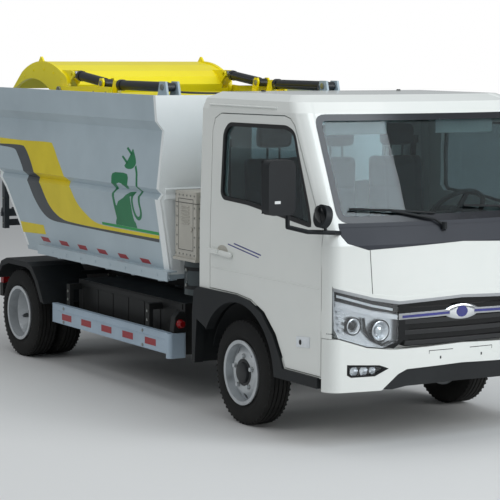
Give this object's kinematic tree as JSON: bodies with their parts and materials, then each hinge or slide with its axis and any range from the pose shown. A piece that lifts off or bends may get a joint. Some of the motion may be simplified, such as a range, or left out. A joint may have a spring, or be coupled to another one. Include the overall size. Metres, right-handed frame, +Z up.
{
  "type": "light garbage truck",
  "caption": "Light electric garbage truck: forward-control cab, tipping open-top tub with sliding packer and arched blade, rear bin lifter, tandem-tyred driven rear axle.",
  "frame": {"origin": "middle of the footprint box on the ground", "axes": "+Z up, the truck looks along -Y, its right side is at -X"},
  "size_m": [2.506, 5.28, 2.232],
  "materials": {
    "chassis_black": "satin chassis black",
    "spring_steel": "black painted spring steel",
    "battery_case": "powder coated case",
    "cab_white": "gloss white paint",
    "tub_silver": "silver grey paint",
    "guard_white": "pale grey paint",
    "packer_yellow": "gloss yellow paint",
    "cylinder_black": "satin black paint",
    "rod_chrome": "hard chrome",
    "lifter_grey": "grey paint",
    "cab_glass": "tinted glass",
    "lamp_clear": "clear lens",
    "lamp_red": "red lens",
    "black_plastic": "grained black plastic",
    "seat_fabric": "woven seat cover",
    "cabinet_grey": "beige grey paint",
    "tank_grey": "grey paint",
    "knuckle_iron": "cast",
    "tyre": "rubber",
    "rim_silver": "silver paint"
  },
  "bodies": {
    "root": {"chassis_frame": "chassis_black", "tub_subframe": "chassis_black", "front_axle": "chassis_black", "rear_axle": "chassis_black", "leaf_springs": "spring_steel", "battery_pack": "battery_case", "cab_shell": "cab_white", "windscreen": "cab_glass", "rear_window": "cab_glass", "cowl_panel": "black_plastic", "front_bumper": "cab_white", "lower_bumper": "black_plastic", "grille": "black_plastic", "front_lamps": "lamp_clear", "dashboard": "black_plastic", "steering_wheel": "black_plastic", "seats": "seat_fabric", "mirrors": "black_plastic", "wipers": "black_plastic", "arch_flares": "black_plastic", "side_guards": "guard_white", "guard_posts": "chassis_black", "rear_mudguards": "black_plastic", "cabinet": "cabinet_grey", "oil_tank": "tank_grey", "underrun_bar": "chassis_black", "tail_lamps": "lamp_red"},
    "knuckle_right": {"knuckle_right": "knuckle_iron"},
    "front_wheel_right": {"front_tyre_right": "tyre", "front_rim_right": "rim_silver"},
    "rear_wheel_right": {"rear_tyres_right": "tyre", "rear_rims_right": "rim_silver"},
    "door_right": {"door_right": "cab_white", "door_glass_right": "cab_glass"},
    "knuckle_left": {"knuckle_left": "knuckle_iron"},
    "front_wheel_left": {"front_tyre_left": "tyre", "front_rim_left": "rim_silver"},
    "rear_wheel_left": {"rear_tyres_left": "tyre", "rear_rims_left": "rim_silver"},
    "door_left": {"door_left": "cab_white", "door_glass_left": "cab_glass"},
    "tub": {"tub_floor": "tub_silver", "tub_sides": "tub_silver", "tub_ends": "tub_silver", "tub_top_frame": "tub_silver", "push_barrels": "cylinder_black"},
    "carriage": {"packer_carriage": "packer_yellow"},
    "blade": {"packer_blade": "packer_yellow"},
    "swing_barrels": {"swing_barrels": "cylinder_black"},
    "swing_rods": {"swing_rods": "rod_chrome"},
    "tip_barrel": {"tip_barrel": "chassis_black"},
    "tip_rod": {"tip_rod": "rod_chrome"},
    "bin_lifter": {"bin_lifter": "lifter_grey"}
  },
  "joints": [
    {"name": "steer_right", "type": "hinge", "parent": "root", "child": "knuckle_right", "pos_m": [-0.59, -1.545, 0.325], "axis": [0, 0, 1], "range_deg": [-35, 35]},
    {"name": "front_wheel_spin_right", "type": "hinge", "parent": "knuckle_right", "child": "front_wheel_right", "pos_m": [-0.765, -1.545, 0.325], "axis": [1, 0, 0], "continuous": true},
    {"name": "rear_wheel_spin_right", "type": "hinge", "parent": "root", "child": "rear_wheel_right", "pos_m": [-0.828, 1.565, 0.325], "axis": [1, 0, 0], "continuous": true},
    {"name": "door_hinge_right", "type": "hinge", "parent": "root", "child": "door_right", "pos_m": [-0.873, -2.464, 1.1], "axis": [0, 0, 1], "range_deg": [0, 65]},
    {"name": "steer_left", "type": "hinge", "parent": "root", "child": "knuckle_left", "pos_m": [0.59, -1.545, 0.325], "axis": [0, 0, 1], "range_deg": [-35, 35]},
    {"name": "front_wheel_spin_left", "type": "hinge", "parent": "knuckle_left", "child": "front_wheel_left", "pos_m": [0.765, -1.545, 0.325], "axis": [1, 0, 0], "continuous": true},
    {"name": "rear_wheel_spin_left", "type": "hinge", "parent": "root", "child": "rear_wheel_left", "pos_m": [0.828, 1.565, 0.325], "axis": [1, 0, 0], "continuous": true},
    {"name": "door_hinge_left", "type": "hinge", "parent": "root", "child": "door_left", "pos_m": [0.873, -2.464, 1.1], "axis": [0, 0, -1], "range_deg": [0, 65]},
    {"name": "tub_tip", "type": "hinge", "parent": "root", "child": "tub", "pos_m": [0, 1.635, 0.742], "axis": [-1, 0, 0], "range_deg": [0, 45]},
    {"name": "tip_cylinder_swing", "type": "hinge", "parent": "root", "child": "tip_barrel", "pos_m": [0, 0.155, 0.56], "axis": [1, 0, 0], "range_deg": [0, 24.24]},
    {"name": "tip_rod_slide", "type": "slide", "parent": "tip_barrel", "child": "tip_rod", "axis": [0, 0.9678, 0.2516], "range_m": [0, 0.464]},
    {"name": "packer_slide", "type": "slide", "parent": "tub", "child": "carriage", "axis": [0, 1, 0], "range_m": [0, 0.3]},
    {"name": "blade_swing", "type": "hinge", "parent": "carriage", "child": "blade", "pos_m": [0, 1.245, 1.985], "axis": [-1, 0, 0], "range_deg": [0, 90]},
    {"name": "swing_cylinder_swing", "type": "hinge", "parent": "carriage", "child": "swing_barrels", "pos_m": [0, 0.655, 2.052], "axis": [1, 0, 0], "range_deg": [-3.81, 0.3]},
    {"name": "swing_rod_slide", "type": "slide", "parent": "swing_barrels", "child": "swing_rods", "axis": [0, 0.9942, 0.1075], "range_m": [0, 0.2219]},
    {"name": "lifter_swing", "type": "hinge", "parent": "tub", "child": "bin_lifter", "pos_m": [0, 2.525, 1.7], "axis": [1, 0, 0], "range_deg": [0, 130]}
  ],
  "couplings": [
    {"joint": "steer_left", "follows": "steer_right", "ratio": 1},
    {"joint": "tip_cylinder_swing", "follows": "tub_tip", "ratio": 0.52749},
    {"joint": "tip_rod_slide", "follows": "tub_tip", "m_per_rad": 0.58568},
    {"joint": "swing_cylinder_swing", "follows": "blade_swing", "ratio": -0.039024},
    {"joint": "swing_rod_slide", "follows": "blade_swing", "m_per_rad": 0.13872}
  ]
}
